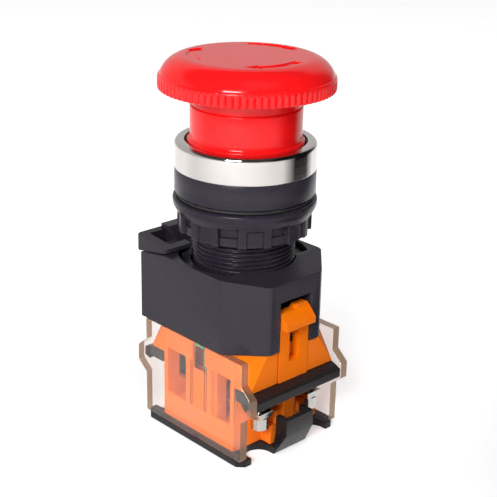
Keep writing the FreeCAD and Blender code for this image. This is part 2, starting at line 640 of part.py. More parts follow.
def make_slider(name, lane, side, window):
    """A stem with a window for the bridge, a head under the plunger and a rib in the wall's slot."""
    stem = box(f"{name}_stem", ("-slider_x", "slider_x"), (f"{lane} - slider_y", f"{lane} + slider_y"),
               ("slider_foot", "slider_top"))
    inner, outer = f"{side} * head_in", f"{side} * (lane + slider_y)"
    reach = (inner, outer) if side > 0 else (outer, inner)
    head = box(f"{name}_head", ("-head_x", "head_x"), reach, ("slider_neck", "slider_top"))
    opening = box(f"{name}_window", ("-slider_x", "slider_x"), (f"{lane} - window_y", f"{lane} + window_y"),
                  window)
    stem_side, wall = f"{side} * (lane + slider_y - 0.1)", f"{side} * (inner_y - 0.1)"
    fin = box(f"{name}_fin", ("-fin_x", "fin_x"), (stem_side, wall) if side > 0 else (wall, stem_side),
              ("fin_low", "fin_top"))
    return cut(name, fuse(f"{name}_whole", stem, head, fin), opening)


def make_contacts():
    no_lane, nc_lane = "-lane", "lane"
    no_strip_top = "terminal_z + strip"
    straight = [("strip_in", "terminal_z"), ("pad_in", "terminal_z"), ("pad_in", no_strip_top),
                ("strip_in", no_strip_top)]
    stepped = [("strip_in", "nc_strip"), ("strip_drop", "nc_strip"), ("strip_drop", "terminal_z"),
               ("pad_in", "terminal_z"), ("pad_in", no_strip_top), ("strip_drop + strip", no_strip_top),
               ("strip_drop + strip", "nc_strip + strip"), ("strip_in", "nc_strip + strip")]
    fixed_tips = make_tips("fixed_tip_no", no_lane, (no_strip_top, f"{no_strip_top} + tip_size"))
    fixed_tips += make_tips("fixed_tip_nc", nc_lane, ("nc_strip - tip_size", "nc_strip"))
    bridge_top = "nc_bridge + strip"
    well = ("well_low", "slider_foot")
    return [
        make_fixed_contacts("fixed_contacts_no", no_lane, straight),
        make_fixed_contacts("fixed_contacts_nc", nc_lane, stepped),
        group("fixed_tips", fixed_tips),
        make_bridge("bridge_no", no_lane, "no_bridge"),
        make_bridge("bridge_nc", nc_lane, "nc_bridge"),
        group("bridge_tips_no", make_tips("moving_tip_no", no_lane, ("no_bridge - tip_size", "no_bridge"))),
        group("bridge_tips_nc",
              make_tips("moving_tip_nc", nc_lane, (bridge_top, f"{bridge_top} + tip_size"))),
        make_slider("slider_no", no_lane, -1, ("no_window_low", "no_window_top")),
        make_slider("slider_nc", nc_lane, 1, ("nc_window_low", "nc_window_top")),
        spring("return_spring_no", "lane_coil", "lane_wire", "lane_pitch", well, no_lane),
        spring("return_spring_nc", "lane_coil", "lane_wire", "lane_pitch", well, nc_lane),
        spring("contact_spring_no", "press_coil", "lane_wire", "press_pitch",
               ("no_bridge + strip", "no_window_top"), no_lane),
        spring("contact_spring_nc", "press_coil", "lane_wire", "press_pitch",
               ("nc_window_low", "nc_bridge"), nc_lane),
    ]


def make_screw(name, across, lane):
    """A terminal screw whose crossed head looks down, towards the screwdriver cut-out."""
    clamp_low = "terminal_z - clamp_size"
    head_low = f"{clamp_low} - screw_head"
    head = rod(f"{name}_head", "screw_head_r", (head_low, clamp_low), (across, lane))
    shank = rod(f"{name}_shank", "screw_r", (clamp_low, "screw_top"), (across, lane))
    arm = "screw_head_r * 0.7"
    slots = [box(f"{name}_slot", (f"{across} - {reach}", f"{across} + {reach}"),
                 (f"{lane} - {width}", f"{lane} + {width}"), (head_low, f"{head_low} + screw_head / 2"))
             for reach, width in ((arm, "screw_slot"), ("screw_slot", arm))]
    return cut(name, fuse(f"{name}_whole", head, shank), *slots)


def make_clamp(name, across, lane):
    """A square clamp plate between a screw's head and its strip."""
    z = ("terminal_z - clamp_size", "terminal_z")
    plate = box(f"{name}_plate", (f"{across} - clamp_half", f"{across} + clamp_half"),
                (f"{lane} - clamp_half", f"{lane} + clamp_half"), z)
    return cut(name, plate, rod(f"{name}_hole", "screw_hole", z, (across, lane)))


def make_terminals():
    screws, clamps = [], []
    for end in ("", "-"):
        for lane in ("lane", "-lane"):
            screws.append(make_screw("screw", f"{end}terminal_x", lane))
            clamps.append(make_clamp("clamp", f"{end}terminal_x", lane))
    return [group("terminal_screws", screws), group("terminal_clamps", clamps)]


# ---------------------------------------------------------------- housing, lock lever, latches

def make_housing():
    # the outline from the -Y face round the chamfer to the +X face, with both edges eased
    eased = "corner_cut * 0.7"
    chamfer = [("house_front - house_corner - corner_cut", "-house_y"),
               (f"house_front - house_corner + {eased}", f"{eased} - house_y"),
               (f"house_front - {eased}", f"house_corner - house_y - {eased}"),
               ("house_front", "house_corner - house_y + corner_cut")]
    block = prism("house_block", "XY_Plane",
                  [("-house_rear", "-house_y"), *chamfer,
                   *[(across, f"-({along})") for across, along in reversed(chamfer)],
                   ("-house_rear", "house_y")],
                  ("house_low", "house_top"))
    slope = prism("house_slope_cut", "XZ_Plane",
                  [("pocket_flat + 1", "house_top"), ("house_front", "house_slope"),
                   ("house_front", "house_top")],
                  ("-house_y", "house_y"))
    step = box("house_step_cut", ("-house_rear", "-step_x"), ("-slant_y", "house_y"),
               ("house_step", "house_top"))
    slant = prism("house_slant_cut", "XZ_Plane",
                  [("-house_rear", "slant_low"), ("-step_x", "house_top"),
                   ("-house_rear", "house_top")],
                  ("-house_y", "-slant_y"))
    pocket = common("house_pocket", rod("house_pocket_round", "pocket_r", ("seat", "house_top")),
                    box("house_pocket_flat", ("-pocket_r", "pocket_flat"), ("-pocket_r", "pocket_r"),
                        ("seat", "house_top")))
    groove = rod("house_ring_groove", "pocket_r", ("seat", "ring_groove"))
    bore = rod("house_bore", "house_bore", ("seat", "house_top"))
    hole = rod("house_hole", "seat_hole", ("cavity_top", "seat"))
    cavity = box("house_cavity", ("-cavity_x", "cavity_x"), ("-cavity_y", "cavity_y"),
                 ("house_low", "cavity_top"))
    gates = []
    for low, high in (("gate_in", "house_front"), ("-house_rear", "-gate_in")):
        gates.append(box("house_gate", (low, high), ("-gate_y", "gate_y"), ("house_low", "gate_top")))
    for low, high in (("catch_in", "gate_in"), ("-gate_in", "-catch_in")):
        gates.append(box("house_catch", (low, high), ("-gate_y", "gate_y"), ("catch_low", "gate_top")))
    return cut("housing", block, slope, step, slant, pocket, groove, bore, hole, cavity, *gates)


def make_lock_lever():
    """The lock ring around the barrel and the square lever with its window."""
    ring = rod("lock_ring", "ring_r", ("ring_low", "ring_top"))
    tab = prism("lock_tab", "XZ_Plane",
                [("-lever_out", "lever_low"), ("-lever_in", "lever_lift"),
                 ("-lever_in", "lever_dip"), ("-lever_out", "lever_top")],
                ("-lever_side", "-ridge_y"))
    ridge = prism("lock_ridge", "XZ_Plane",
                  [("-lever_out", "lever_low"), ("-lever_in", "lever_low"), ("-lever_in", "ramp_low"),
                   ("-ramp_in", "ramp_low"), ("-ramp_out", "ridge_top"), ("-lever_out", "ridge_top")],
                  ("-ridge_y", "lever_far"))
    bore = rod("lock_bore", "ring_bore", ("ring_low", "ridge_top"))
    eye = box("lock_eye", ("-eye_out", "-eye_in"), ("-eye_side", "-eye_far"), ("lever_low", "lever_top"))
    plan = prism("lock_plan", "XY_Plane",
                 [("lever_round - lever_out", "-lever_side"), ("-lever_in - lever_round", "-lever_side"),
                  ("-lever_in - lever_round * 0.3", "lever_round * 0.3 - lever_side"),
                  ("-lever_in", "lever_round - lever_side"), ("-lever_in", "lever_far"),
                  ("lever_round - lever_out", "lever_far"),
                  ("lever_round * 0.3 - lever_out", "lever_far - lever_round * 0.3"),
                  ("-lever_out", "lever_far - lever_round"), ("-lever_out", "lever_round - lever_side"),
                  ("lever_round * 0.3 - lever_out", "lever_round * 0.3 - lever_side")],
                 ("lever_low", "ridge_top"))
    lever = cut("lock_arm", common("lock_shape", fuse("lock_block", tab, ridge), plan), eye)
    return cut("lock_lever", fuse("lock_whole", ring, lever), bore)


def make_latches():
    """The spring tongues that hook the contact block into the housing."""
    tongue = prism("latch_tongue", "XZ_Plane",
                   [("latch_back", "latch_foot"), ("latch_face", "latch_foot"), ("latch_face", "lip_low"),
                    ("lip_out", "lip_low"), ("lip_out", "lip_high"), ("latch_face", "latch_top"),
                    ("latch_back", "latch_top"), ("latch_back", "tooth_high"),
                    ("tooth_in", "tooth_low + 0.5"), ("tooth_in", "tooth_low"), ("latch_back", "tooth_low")],
                   ("-latch_y", "latch_y"))
    knuckle = prism("latch_knuckle", "YZ_Plane",
                    [("0", "latch_top"), ("0.6", "knuckle_top"), ("latch_y - 0.6", "knuckle_top"),
                     ("latch_y - 0.1", "latch_top")],
                    ("latch_back", "latch_face"))
    slot = box("latch_slot", ("latch_back", "latch_face"), ("-slot_y", "slot_y"), ("slot_low", "slot_high"))
    right = cut("latch_right", fuse("latch_whole", tongue, knuckle), slot)
    return [right, mirrored("latch_left", right, (1, 0, 0))]


# ---------------------------------------------------------------- operator

def make_operator_barrel():
    thread = [("barrel_r", "seat"), ("barrel_r", "thread_low")]
    for tooth in range(THREAD_TEETH):
        thread.append(("barrel_r - thread_depth", f"thread_low + {tooth + 0.5} * thread_pitch"))
        thread.append(("barrel_r", f"thread_low + {tooth + 1} * thread_pitch"))
    return lathe("operator_barrel",
                 [("spring_bore", "seat"), *thread, ("barrel_r", "collar_low"),
                  ("collar_r - collar_edge", "collar_low"), ("collar_r", "collar_low + collar_edge"),
                  ("collar_r", "bezel_low"), ("neck_r", "bezel_low"), ("neck_r", "neck_top"),
                  ("neck_bore", "neck_top"), ("neck_bore", "neck_floor"), ("spring_bore", "neck_floor"),
                  ("spring_bore", "guide_top"), ("guide_bore", "guide_top"), ("guide_bore", "guide_floor"),
                  ("spring_bore", "guide_floor")])


def make_bezel_ring():
    bezel = lathe("bezel_ring",
                  [("neck_r", "bezel_low"), ("bezel_r", "bezel_low"), ("bezel_r", "bezel_top"),
                   ("bezel_hole", "bezel_top"), ("bezel_hole", "bezel_lip"), ("neck_r", "bezel_lip")])
    return rounded(bezel, "bezel_r", "bezel_top", "bezel_round")


def make_ring_nut():
    blank = lathe("nut_blank",
                  [("nut_bore", "nut_low"), ("nut_r", "nut_low"), ("nut_r", "nut_cone"),
                   ("nut_r + 0.35", "nut_neck"), ("nut_rim_r", "nut_rim"), ("nut_rim_r", "nut_top - 0.3"),
                   ("nut_rim_r - 0.3", "nut_top"), ("nut_bore", "nut_top")])
    tools = []
    for index in range(NUT_GRIPS):
        angle = GRIP_START + index * 360 / NUT_GRIPS
        grip = box("nut_grip", ("nut_r - grip_depth", "nut_rim_r + 1"), ("-grip_y", "grip_y"),
                   ("nut_low", "grip_top"))
        flat = box("nut_flat", ("nut_r - flat_depth", "nut_rim_r + 1"), ("-flat_y", "flat_y"),
                   ("nut_low", "nut_cone"))
        # a group carries the turn, so that the box keeps its bound place
        tools.append(turned(group("nut_grip_turned", [grip]), angle))
        tools.append(turned(group("nut_flat_turned", [flat]), angle + FLAT_STEP))
    return cut("ring_nut", blank, *tools)


def make_plunger():
    blank = lathe("plunger_blank",
                  [("0", "plunger_low"), ("plunger_r", "plunger_low"),
                   ("plunger_r", "clip_low - clip_play"), ("groove_r", "clip_low - clip_play"),
                   ("groove_r", "clip_high + clip_play"), ("plunger_r", "clip_high + clip_play"),
                   ("plunger_r", "shelf_low"), ("shelf_r", "shelf_low"), ("shelf_r", "shelf_high"),
                   ("plunger_r", "shelf_high"), ("plunger_r", "circlip_low - clip_play"),
                   ("groove_r", "circlip_low - clip_play"), ("groove_r", "circlip_high + clip_play"),
                   ("plunger_r", "circlip_high + clip_play"), ("plunger_r", "plunger_high"),
                   ("0", "plunger_high")])
    return cut("plunger", blank, cross_rod("plunger_hole", "pin_r + clip_play", "shelf_r"))


def cross_rod(name, radius, half):
    """A rod along Y at the height of the latch pin."""
    item = DOC.addObject("Part::Cylinder", name)
    bind(item, "Radius", radius)
    bind(item, "Height", f"2 * ({half})")
    item.Placement.Rotation = FreeCAD.Rotation(FreeCAD.Vector(1, 0, 0), -90)
    bind(item, "Placement.Base.y", f"-({half})")
    bind(item, "Placement.Base.z", "pin_z")
    return item


def make_cam_ring():
    """The ring whose slots guide the latch pin."""
    slot = box("cam_slots", ("-cam_slot", "cam_slot"), ("-cam_r", "cam_r"), ("cam_slot_low", "cam_high"))
    return cut("cam_ring", tube("cam_tube", "cam_r", "cam_bore", ("neck_floor", "cam_high")), slot)


def make_operator():
    return [
        make_operator_barrel(),
        make_bezel_ring(),
        tube("stem_seal", "neck_r", "seal_bore", ("neck_top", "bezel_lip")),
        tube("panel_gasket", "gasket_r", "nut_bore", ("gasket_low", "gasket_high")),
        make_ring_nut(),
        make_plunger(),
        cross_rod("latch_pin", "pin_r", "pin_y"),
        make_cam_ring(),
        tube("retaining_clip", "clip_r", "groove_r", ("clip_low", "clip_high")),
        tube("cap_circlip", "circlip_r", "groove_r", ("circlip_low", "circlip_high")),
        spring("main_spring", "main_coil", "main_wire", "main_pitch", ("guide_top", "shelf_low")),
        spring("torsion_spring", "turn_coil", "turn_wire", "turn_pitch", ("turn_low", "turn_high")),
    ]


# ---------------------------------------------------------------- head

def make_arrow(index):
    """One engraved arrow that runs clockwise, seen from above."""
    tip = ARROW_TIP + index * 360 / ARROWS
    shaft = []
    for radius in ("arrow_out", "arrow_in"):
        sector = rod("arrow_sector", radius, ("arrow_low", "cap_crown + 1"))
        sector.Angle = ARROW_SWEEP
        shaft.append(sector)
    head = DOC.addObject("Part::Prism", "arrow_head")
    head.Polygon = 3
    bind(head, "Circumradius", "arrow_head")
    bind(head, "Height", "cap_crown + 1 - arrow_low")
    # one corner of the triangle points clockwise
    head.Placement.Rotation = FreeCAD.Rotation(FreeCAD.Vector(0, 0, 1), -90)
    bind(head, "Placement.Base.x", "(arrow_in + arrow_out) / 2")
    bind(head, "Placement.Base.z", "arrow_low")
    return turned(group("arrow", [cut("arrow_shaft", *shaft), head]), tip)


def make_mushroom_cap():
    blank = lathe("cap_blank",
                  [("0", "boss_top"), ("guide_bore", "boss_top"), ("guide_bore", "boss_low"),
                   ("boss_r", "boss_low"), ("boss_r", "spigot_low"), ("spigot_r", "spigot_low"),
                   ("spigot_r", "cap_low"), ("cap_hollow_in", "cap_low"),
                   ("cap_hollow_in", "cap_hollow_top"), ("cap_hollow_out", "cap_hollow_top"),
                   ("cap_hollow_out", "cap_low"),
                   ("cap_r - 0.2", "cap_low"), ("cap_r", "cap_low + 0.2"), ("cap_r", "cap_rim - 0.2"),
                   ("cap_body_r", "cap_rim"), ("cap_corner_r", "cap_edge"), ("0", "cap_crown")])
    blank = rounded(blank, "cap_corner_r", "cap_edge", "cap_round")
    return cut("mushroom_cap", blank, *[make_arrow(index) for index in range(ARROWS)])


def make_stem_sleeve():
    return lathe("stem_sleeve",
                 [("skirt_bore", "skirt_low"), ("skirt_lip_r", "skirt_low"), ("skirt_lip_r", "skirt_lip"),
                  ("skirt_r", "skirt_lip + 0.8"), ("skirt_r", "skirt_step - 0.2"),
                  ("skirt_neck_r", "skirt_step"), ("skirt_neck_r", "cap_low"), ("skirt_bore", "cap_low")])


# ---------------------------------------------------------------- build, test and export

def export(nodes):
    """Stop on a failed object, then write one STEP file for each sub-part."""
    DOC.recompute()
    for item in DOC.Objects:
        if {"Invalid", "Error"} & set(item.State):
            raise RuntimeError(f"{item.Name} failed: {item.State}")
    os.makedirs("parts", exist_ok=True)
    for item in nodes:
        if item.Shape.isNull() or not item.Shape.isValid() or not item.Shape.Solids:
            raise RuntimeError(f"{item.Label} has no valid solid")
        item.Shape.exportStep(f"parts/{item.Label}.step")
        print(f"{item.Label}: {len(item.Shape.Solids)} solids, {item.Shape.Volume:.1f} mm3")


export([make_base_plate(), make_contact_base(), *make_side_covers(), *make_terminal_shields(),
        *make_contacts(), *make_terminals(), make_housing(), make_lock_lever(), *make_latches(),
        *make_operator(), make_mushroom_cap(), make_stem_sleeve()])
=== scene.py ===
import json
import math

import bmesh
import bpy
from mathutils import Matrix, Vector

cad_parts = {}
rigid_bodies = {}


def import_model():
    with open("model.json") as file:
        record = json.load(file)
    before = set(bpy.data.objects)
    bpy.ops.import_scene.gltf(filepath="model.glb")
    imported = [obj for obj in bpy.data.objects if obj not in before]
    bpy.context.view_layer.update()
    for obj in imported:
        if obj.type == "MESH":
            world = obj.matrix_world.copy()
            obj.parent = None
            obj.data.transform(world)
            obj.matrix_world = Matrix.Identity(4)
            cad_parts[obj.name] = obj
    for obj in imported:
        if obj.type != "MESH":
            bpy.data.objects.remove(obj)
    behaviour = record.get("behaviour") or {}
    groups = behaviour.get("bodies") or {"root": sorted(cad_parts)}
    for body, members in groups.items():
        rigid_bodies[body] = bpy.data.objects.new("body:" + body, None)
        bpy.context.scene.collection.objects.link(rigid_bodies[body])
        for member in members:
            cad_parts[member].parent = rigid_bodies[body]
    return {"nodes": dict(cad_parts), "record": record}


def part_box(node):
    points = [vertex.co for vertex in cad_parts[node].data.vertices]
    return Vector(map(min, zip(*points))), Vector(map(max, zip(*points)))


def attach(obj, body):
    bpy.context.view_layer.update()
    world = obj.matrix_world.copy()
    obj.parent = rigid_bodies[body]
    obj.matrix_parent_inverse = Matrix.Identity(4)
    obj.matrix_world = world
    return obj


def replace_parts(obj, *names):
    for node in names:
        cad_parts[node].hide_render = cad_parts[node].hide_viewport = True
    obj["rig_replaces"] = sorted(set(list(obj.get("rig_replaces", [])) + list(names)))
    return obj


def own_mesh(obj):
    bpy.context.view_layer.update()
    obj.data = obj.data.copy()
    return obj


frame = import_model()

# The emergency stop button's looks. Lengths are in metres; outlines are drawn in millimetres and
# scaled by MM. The springs' heights come from their CAD nodes' boxes.
MM = 0.001
TURN = 2 * math.pi
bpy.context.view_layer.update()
SCENE = bpy.context.scene


# ---------------------------------------------------------------- camera, floor and light

def make_camera():
    """A long lens, above and to one side, with the button leaning a little to the right."""
    azimuth, elevation, roll = math.radians(46.66), math.radians(21.21), math.radians(1.15)
    distance, focal_length = 0.2542, 85.6
    target = Vector((0, 0, 0.0418))
    right = Vector((math.cos(azimuth), math.sin(azimuth), 0))
    back = Vector((math.sin(azimuth) * math.cos(elevation), -math.cos(azimuth) * math.cos(elevation),
                   math.sin(elevation)))
    up = back.cross(right)
    data = bpy.data.cameras.new("camera")
    data.lens = focal_length
    data.sensor_width = 36
    data.shift_x = 0.0095
    data.clip_start = 0.01
    data.clip_end = 20
    camera = bpy.data.objects.new("camera", data)
    across = right * math.cos(roll) + up * math.sin(roll)
    above = up * math.cos(roll) - right * math.sin(roll)
    turn = Matrix((across, above, back)).transposed().to_4x4()
    camera.matrix_world = Matrix.Translation(target + back * distance) @ turn
    SCENE.collection.objects.link(camera)
    SCENE.camera = camera
    return right, back


def area_light(name, place, target, size, power):
    """A rectangular lamp that faces a target."""
    data = bpy.data.lights.new(name, "AREA")
    data.shape = "RECTANGLE"
    data.size, data.size_y = size
    data.energy = power
    lamp = bpy.data.objects.new(name, data)
    lamp.location = place
    lamp.rotation_euler = (Vector(target) - Vector(place)).to_track_quat("-Z", "Y").to_euler()
    SCENE.collection.objects.link(lamp)
    return lamp


def make_world(right, ahead):
    """Pale surroundings up to a low ceiling line; above it, and to the right, they are dark."""
    world = bpy.data.worlds.new("studio")
    world.use_nodes = True
    tree = world.node_tree
    toward = tree.nodes.new("ShaderNodeTexCoord").outputs["Generated"]

    def along(direction, low, high, start, end):
        """A smooth step of the view direction's part along a direction."""
        dot = tree.nodes.new("ShaderNodeVectorMath")
        dot.operation = "DOT_PRODUCT"
        dot.inputs[1].default_value = direction
        tree.links.new(toward, dot.inputs[0])
        step = tree.nodes.new("ShaderNodeMapRange")
        step.interpolation_type = "SMOOTHSTEP"
        for key, number in zip(("From Min", "From Max", "To Min", "To Max"), (low, high, start, end)):
            step.inputs[key].default_value = number
        tree.links.new(dot.outputs["Value"], step.inputs["Value"])
        return step.outputs["Result"]

    pale, ceiling, dark_share = 0.61, 0.06, 0.10
    wall = along(Vector((0, 0, 1)) + ahead * 0.35, 0.38, 0.56, pale, ceiling)
    side = along(right, 0.45, 0.75, 1.0, dark_share)
    background = tree.nodes["Background"]
    background.inputs["Color"].default_value = (1.0, 0.985, 0.97, 1)
    tree.links.new(multiplied(tree, wall, side), background.inputs["Strength"])
    SCENE.world = world


def flat_object(name, width, height):
    """A flat rectangle around the middle of the frame."""
    mesh = bpy.data.meshes.new(name)
    corners = [(x * width / 2, y * height / 2, 0) for x, y in ((-1, -1), (1, -1), (1, 1), (-1, 1))]
    mesh.from_pydata(corners, [], [(0, 1, 2, 3)])
    item = bpy.data.objects.new(name, mesh)
    SCENE.collection.objects.link(item)
    return item


def make_card(name, centre, right, up, width, height, soft=0.25, cover=1.0):
    """A dark studio card with faded edges, unseen by the camera and casting no shadow."""
    card = flat_object(name, width, height)
    turn = Matrix((right, up, right.cross(up))).transposed().to_4x4()
    card.matrix_world = Matrix.Translation(centre) @ turn
    material, shader = new_material(name)
    tree = material.node_tree
    shader.inputs["Base Color"].default_value = (0.01, 0.01, 0.01, 1)
    shader.inputs["Specular IOR Level"].default_value = 0.0
    parts = tree.nodes.new("ShaderNodeSeparateXYZ")
    tree.links.new(tree.nodes.new("ShaderNodeTexCoord").outputs["Generated"], parts.inputs["Vector"])
    fades = []
    for axis in ("X", "Y"):
        away = tree.nodes.new("ShaderNodeMath")
        away.operation = "PINGPONG"
        away.inputs[1].default_value = 0.5
        tree.links.new(parts.outputs[axis], away.inputs[0])
        fades.append(ranged(tree, away.outputs["Value"], 0.0, math.sqrt(cover), (0.0, soft)))
    tree.links.new(multiplied(tree, *fades), shader.inputs["Alpha"])
    card.data.materials.append(material)
    card.visible_camera = False
    card.visible_shadow = False
    card.visible_transmission = False


def make_studio(right, back):
    """A soft key from the left front, and dark cards on the right."""
    SCENE.view_settings.view_transform = "Standard"
    ahead = Vector((back.x, back.y, 0)).normalized()
    make_world(right, ahead)
    middle = Vector((0, 0, 0.06))
    top = Vector((0, 0, 1))

    def placed(turn, lift, reach):
        """A place at an angle left of the camera and an angle up, seen from the middle."""
        turn, lift = math.radians(turn), math.radians(lift)
        level = ahead * math.cos(turn) - right * math.sin(turn)
        return middle + (level * math.cos(lift) + top * math.sin(lift)) * reach

    area_light("key", placed(20, 27, 0.7), middle, (0.26, 0.17), 4.2)
    fill = area_light("fill", placed(-25, 60, 0.9), middle, (0.5, 0.5), 3.2)
    fill.visible_glossy = False
    wall = middle + right * 0.115 - ahead * 0.008 + top * 0.04
    make_card("dark_side", wall, ahead, top, 0.155, 0.36, soft=0.32)
    paper = top * 0.0004
    make_card("dark_floor", paper + right * 0.078 + ahead * 0.005, right, ahead, 0.075, 0.12)
    make_card("grey_floor", paper - right * 0.10, right, ahead, 0.16, 0.24, soft=0.3, cover=0.4)
    make_card("front_strip", paper + ahead * 0.160 - right * 0.03, right, ahead, 0.16, 0.006)


def make_floor(back):
    """Pale paper, lit a little more behind the part."""
    size = 8.0
    floor = flat_object("floor", size, size)
    material, shader = new_material("floor_paper")
    tree = material.node_tree
    fibres = ranged(tree, noise(tree, 700, 4.0), 0.0, 1.0)
    grey, white = (0.93, 0.93, 0.93), (0.96, 0.96, 0.96)
    tree.links.new(tinted(tree, fibres, grey, white), shader.inputs["Base Color"])
    shader.inputs["Roughness"].default_value = 0.9
    shader.inputs["Emission Color"].default_value = (1, 1, 1, 1)
    behind = tree.nodes.new("ShaderNodeVectorMath")
    behind.operation = "DOT_PRODUCT"
    behind.inputs[1].default_value = Vector((-back.x, -back.y, 0)).normalized()
    tree.links.new(tree.nodes.new("ShaderNodeTexCoord").outputs["Object"], behind.inputs[0])
    near_glow, far_glow = 0.27, 0.64
    glow = ranged(tree, behind.outputs["Value"], near_glow, far_glow, (-0.02, 0.08))
    tree.links.new(glow, shader.inputs["Emission Strength"])
    floor.data.materials.append(material)


# ---------------------------------------------------------------- materials

def new_material(name):
    """A material and its shader."""
    material = bpy.data.materials.new(name)
    material.use_nodes = True
    return material, material.node_tree.nodes["Principled BSDF"]


def noise(tree, scale, detail=2.0, stretch=None):
    """A noise texture in the object's own metres, stretched along the axes if asked."""
    place = tree.nodes.new("ShaderNodeTexCoord").outputs["Object"]
    if stretch:
        mapping = tree.nodes.new("ShaderNodeMapping")
        mapping.inputs["Scale"].default_value = stretch
        tree.links.new(place, mapping.inputs["Vector"])
        place = mapping.outputs["Vector"]
    texture = tree.nodes.new("ShaderNodeTexNoise")
    texture.inputs["Scale"].default_value = scale
    texture.inputs["Detail"].default_value = detail
    tree.links.new(place, texture.inputs["Vector"])
    return texture.outputs["Fac"]


def ranged(tree, value, low, high, source=(0.3, 0.7)):
    """Map a value from a source range, by default a noise's, to low and high."""
    node = tree.nodes.new("ShaderNodeMapRange")
    for key, number in zip(("From Min", "From Max", "To Min", "To Max"), (*source, low, high)):
        node.inputs[key].default_value = number
    tree.links.new(value, node.inputs["Value"])
    return node.outputs["Result"]


def multiplied(tree, first, second):
    """The product of two values."""
    node = tree.nodes.new("ShaderNodeMath")
    node.operation = "MULTIPLY"
    tree.links.new(first, node.inputs[0])
    tree.links.new(second, node.inputs[1])
    return node.outputs["Value"]


def tinted(tree, value, dark, light):
    """Mix two colours by a value. The first may be another node's output."""
    node = tree.nodes.new("ShaderNodeMix")
    node.data_type = "RGBA"
    # a Mix node has several sockets of each name, so the ones for colours are taken by number
    share, first, second, result = node.inputs[0], node.inputs[6], node.inputs[7], node.outputs[2]
    if isinstance(dark, tuple):
        first.default_value = (*dark, 1)
    else:
        tree.links.new(dark, first)
    second.default_value = (*light, 1)
    tree.links.new(value, share)
    return result


def spread_about(colour, spread):
    """A colour a little darker and a little lighter than the given one."""
    dark = tuple(part * (1 - spread) for part in colour)
    light = tuple(min(1.0, part * (1 + spread)) for part in colour)
    return dark, light


def bumped(tree, shader, value, height):
    """Raise the surface by a value, at most by height in metres."""
    node = tree.nodes.new("ShaderNodeBump")
    node.inputs["Distance"].default_value = height
    node.inputs["Strength"].default_value = 1.0
    tree.links.new(value, node.inputs["Height"])
    tree.links.new(node.outputs["Normal"], shader.inputs["Normal"])


def plastic(name, colour, rough, spread=0.06, grain=2600, height=0.000006, edge=0.12, gloss=0.5):
    """Moulded plastic: slight flow shades, worn lighter edges, spark-eroded grain."""
    material, shader = new_material(name)
    shader.inputs["Specular IOR Level"].default_value = gloss
    tree = material.node_tree
    flow = ranged(tree, noise(tree, 160, 3.0), 0.0, 1.0)
    base = tinted(tree, flow, *spread_about(colour, spread))
    pointed = tree.nodes.new("ShaderNodeNewGeometry").outputs["Pointiness"]
    worn = ranged(tree, pointed, 0.0, edge, (0.52, 0.60))
    paler = tuple(part * 0.6 + 0.4 for part in colour)
    tree.links.new(tinted(tree, worn, base, paler), shader.inputs["Base Color"])
    wear = ranged(tree, noise(tree, 500, 4.0), rough - 0.05, rough + 0.07)
    tree.links.new(wear, shader.inputs["Roughness"])
    bumped(tree, shader, noise(tree, grain, 3.0), height)
    return material


def metal(name, colour, rough, spread=0.04, stretch=None, scale=900, height=0.000002):
    """Metal with fine lines or mottling in its roughness and height."""
    material, shader = new_material(name)
    tree = material.node_tree
    shader.inputs["Metallic"].default_value = 1.0
    mottle = ranged(tree, noise(tree, 300, 3.0), 0, 1)
    tree.links.new(tinted(tree, mottle, *spread_about(colour, spread)), shader.inputs["Base Color"])
    lines = noise(tree, scale, 4.0, stretch)
    tree.links.new(ranged(tree, lines, rough * 0.7, rough * 1.5), shader.inputs["Roughness"])
    bumped(tree, shader, lines, height)
    return material


def clear_plastic(name, face, edge):
    """Clear smoky plastic. Its sawn edges, the faces that don't look along Y, are browner and duller."""
    material, shader = new_material(name)
    tree = material.node_tree
    shader.inputs["IOR"].default_value = 1.06
    shader.inputs["Coat Weight"].default_value = 1.0
    shader.inputs["Coat IOR"].default_value = 1.5
    shader.inputs["Coat Roughness"].default_value = 0.04
    normal = tree.nodes.new("ShaderNodeTexCoord").outputs["Normal"]
    parts = tree.nodes.new("ShaderNodeSeparateXYZ")
    tree.links.new(normal, parts.inputs["Vector"])
    size = tree.nodes.new("ShaderNodeMath")
    size.operation = "ABSOLUTE"
    tree.links.new(parts.outputs["Y"], size.inputs[0])
    facing = ranged(tree, size.outputs["Value"], 0.0, 1.0, (0.35, 0.75))
    streak = ranged(tree, noise(tree, 120, 3.0), 0.94, 1.0)
    clearness = multiplied(tree, facing, streak)
    tree.links.new(tinted(tree, clearness, edge, face), shader.inputs["Base Color"])
    clear = ranged(tree, clearness, 0.45, 1.0, (0, 1))
    tree.links.new(clear, shader.inputs["Transmission Weight"])
    tree.links.new(ranged(tree, noise(tree, 300, 3.0), 0.0, 0.05), shader.inputs["Roughness"])
    bumped(tree, shader, noise(tree, 240, 2.0), 0.000010)
    return material


